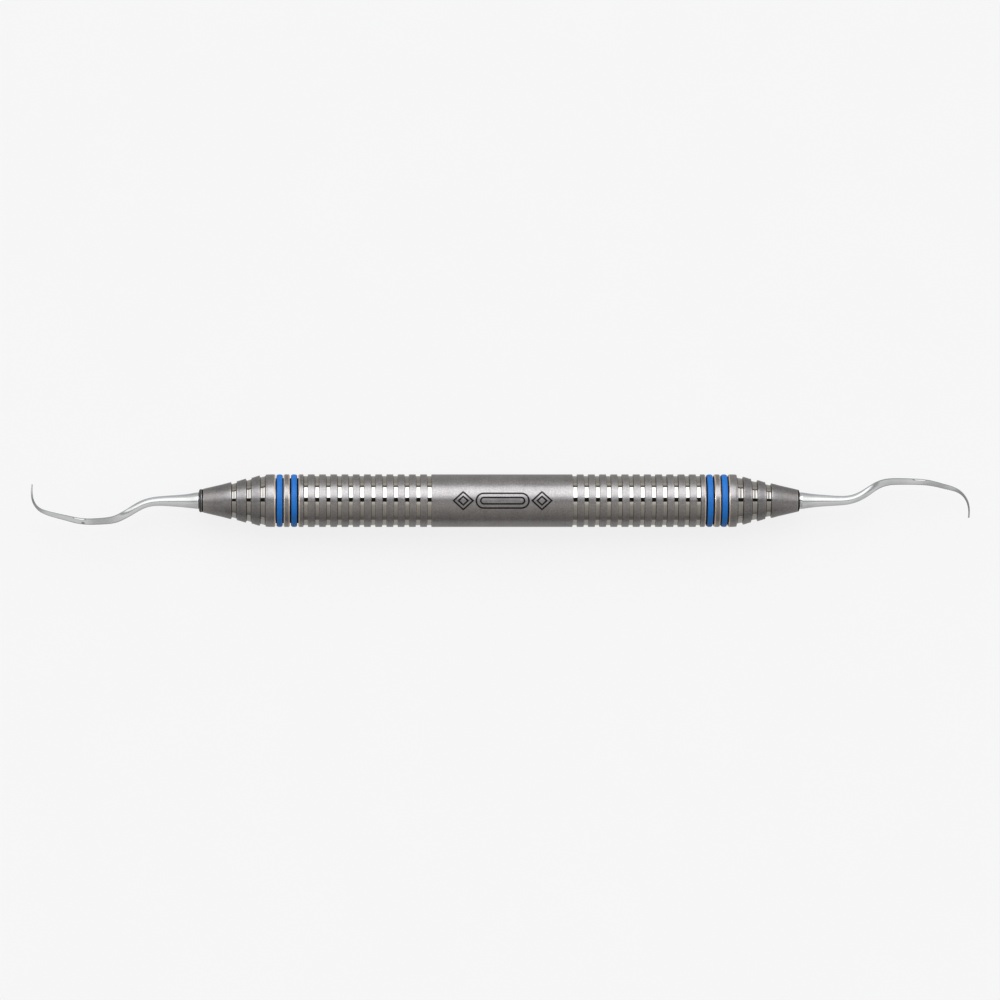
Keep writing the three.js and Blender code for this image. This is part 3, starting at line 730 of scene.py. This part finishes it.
FAR = [(-180, (.34, .33, .32)), (-96, (.12, .115, .11)), (-84, (.14, .135, .13)), (-60, (.23, .225, .21)), (-23.5, (.31, .30, .285)), (-5.6, (.35, .34, .33)),
       (12.2, (.37, .365, .36)), (13.6, (.57, .555, .53)), (67.2, (.42, .407, .394)), (68.4, (.05, .05, .045)), (71.4, (.05, .05, .045)),
       (73.2, (.25, .235, .215)), (84, (.36, .34, .31)), (98, (.34, .32, .29)), (180, (.34, .33, .32))]
FAR_B = [(a, tuple(c * (0.56 if 13 < a < 68 else 1.2) for c in col)) for a, col in FAR]
ENDS_BOX = (2.10, 2.40, 3.20)
POWER = 1.5


def make_world():
    w = bpy.data.worlds.new("studio")
    scene.world = w
    w.use_nodes = True
    nt = w.node_tree
    nt.nodes.clear()
    h = Nodes.__new__(Nodes)
    h.nt = nt
    tc = h.add("ShaderNodeTexCoord")
    xyz = h.add("ShaderNodeSeparateXYZ", {"Vector": tc.outputs["Generated"]})
    phi = h.math("ARCTAN2", xyz.outputs["Y"], xyz.outputs["Z"])
    fac = h.math("MULTIPLY_ADD", phi, 0.5 / math.pi, 0.5)
    near, far, far_b = (h.ramp(fac, [((a + 180) / 360, tuple(c / 2.5 for c in col)) for a, col in stops]).outputs[0] for stops in (NEAR, FAR, FAR_B))
    x = xyz.outputs["X"]
    ax = h.math("ABSOLUTE", x)
    # the soft box ends sooner towards end B
    side = h.math("MAXIMUM", h.remap(x, 0.12, 0.46, 0, 1), h.remap(h.math("MULTIPLY", x, -1.0), 0.135, 0.54, 0, 1))
    slot = h.math("MULTIPLY", h.remap(fac, (-5.6 + 180) / 360, (-4.6 + 180) / 360, 0, 1), h.remap(fac, (13.5 + 180) / 360, (14.7 + 180) / 360, 1, 0))
    slot = h.math("MULTIPLY", slot, h.remap(ax, 0.48, 0.58, 1, 0))
    far = h.mix(h.remap(x, -0.05, 0.05, 0, 1), far, far_b)
    colour = h.mix(side, near, far)
    colour = h.mix(slot, colour, (.005, .005, .005))
    ends = h.ramp(ax, [(0.0, (.4, .4, .4)), (0.84, (.4, .4, .4)), (0.93, (1, 1, 1)), (1.0, (1, 1, 1))]).outputs[0]
    dim = h.add("ShaderNodeVectorMath", {0: colour, 1: ends}, operation="MULTIPLY").outputs[0]
    # what the chamfers see of the soft box
    box = h.math("MULTIPLY", h.remap(fac, (12.6 + 180) / 360, (14.6 + 180) / 360, 0, 1), h.remap(fac, (66.4 + 180) / 360, (68.4 + 180) / 360, 1, 0))
    dim = h.mix(h.math("MULTIPLY", box, h.remap(ax, 0.84, 0.93, 0, 1)), dim, tuple(c / 2.5 for c in ENDS_BOX))
    lp = h.add("ShaderNodeLightPath")
    studio = h.add("ShaderNodeBackground", {"Color": dim, "Strength": 2.5 * 2.5 * POWER})
    paper = h.add("ShaderNodeBackground", {"Color": (0.95, 0.95, 0.95, 1), "Strength": 1.0})
    mix = h.add("ShaderNodeMixShader", {0: lp.outputs["Is Camera Ray"], 1: studio.outputs[0], 2: paper.outputs[0]})
    out = h.add("ShaderNodeOutputWorld")
    nt.links.new(mix.outputs[0], out.inputs[0])


make_world()

# A small white tent bends round each working end, so that the thin polished steel
# mirrors an even surround. Only mirror rays meet it.
TENT = [(-97, .60), (-70, .60), (-35, .66), (-22, .76), (-19, .32), (-8, .32), (2, .95), (8, 1.30), (44, 1.30), (56, .95), (66, .66), (80, .58), (97, .60)]
TENT_R, TENT_FROM, TENT_TO = 12.0, 54.2, 96.0
TENT_LEVEL = {"a": [(66, 1.0), (68, 0.88), (69.5, 0.72), (70.5, 0.64), (74.3, 0.62), (75.6, 0.95), (80, 0.95), (82.5, 0.84)], "b": [(67, 1.0), (70, 0.86), (74.2, 0.84), (75, 1.05), (76.6, 1.0), (77.6, 0.70), (79, 0.66), (80.3, 0.58), (82, 0.70), (83, 0.85)]}


def make_tent(label, turn):
    line = [p for p in LINES[label] if p[0] < 83.4]
    s = -1.0 if turn else 1.0
    xs, angles = np.linspace(TENT_FROM, TENT_TO, 61), np.linspace(-97, 97, 98)
    verts, around, fade, level = [], [], [], []
    for x in xs:
        y = float(np.interp(x, [p[0] for p in line], [p[1] for p in line]))
        for a in angles:
            verts.append((s * x * MM, (s * y + TENT_R * math.sin(math.radians(a))) * MM, TENT_R * math.cos(math.radians(a)) * MM))
            around.append((a + 180) / 360)
            fade.append(smooth(TENT_FROM, TENT_FROM + 2.2, x))
            level.append(table(TENT_LEVEL[label], x))
    k = len(angles)
    faces = [(i * k + j, i * k + j + 1, (i + 1) * k + j + 1, (i + 1) * k + j) for i in range(len(xs) - 1) for j in range(k - 1)]
    me = bpy.data.meshes.new(f"tent_{label}")
    me.from_pydata(verts, [], faces)
    for name, values in (("around", around), ("fade", fade), ("level", level)):
        me.attributes.new(name, "FLOAT", "POINT").data.foreach_set("value", np.asarray(values, np.float32))
    ob = bpy.data.objects.new(f"tent_{label}", me)
    scene.collection.objects.link(ob)
    n = Nodes(f"tent_{label}")
    shade = n.ramp(n.add("ShaderNodeAttribute", attribute_name="around").outputs["Fac"], [((a + 180) / 360, (v * 1.06 / 1.5, v / 1.5, v * 0.945 / 1.5)) for a, v in TENT]).outputs[0]
    glow = n.add("ShaderNodeEmission", {"Color": shade, "Strength": n.math("MULTIPLY", n.add("ShaderNodeAttribute", attribute_name="level").outputs["Fac"], 1.5)})
    fac = n.math("MULTIPLY", n.add("ShaderNodeLightPath").outputs["Is Glossy Ray"], n.add("ShaderNodeAttribute", attribute_name="fade").outputs["Fac"])
    mix = n.add("ShaderNodeMixShader", {0: fac, 1: n.add("ShaderNodeBsdfTransparent").outputs[0], 2: glow.outputs[0]})
    out = n.add("ShaderNodeOutputMaterial")
    n.nt.links.new(mix.outputs[0], out.inputs[0])
    n.mat.cycles.emission_sampling = "NONE"
    me.materials.append(n.mat)


make_tent("a", True)
make_tent("b", False)
scene.view_settings.view_transform = "Standard"
scene.view_settings.look = "None"

# ----------------------------------------------------------------------- camera
AIM = Vector((-0.34, 0.122, 0)) * MM
EYE = Vector((-41.0, 0.0, 1363.0)) * MM
cam_data = bpy.data.cameras.new("camera")
cam = bpy.data.objects.new("camera", cam_data)
scene.collection.objects.link(cam)
cam.location = EYE
forward = (AIM - EYE).normalized()
right = forward.cross(Vector((0, 1, 0))).normalized()
cam.rotation_euler = Matrix((right, right.cross(forward), -forward)).transposed().to_euler()
cam_data.sensor_width = 36
cam_data.lens = 36 * (AIM - EYE).length / (181.0 * MM)
cam_data.clip_start = 0.01
cam_data.clip_end = 20
scene.camera = cam
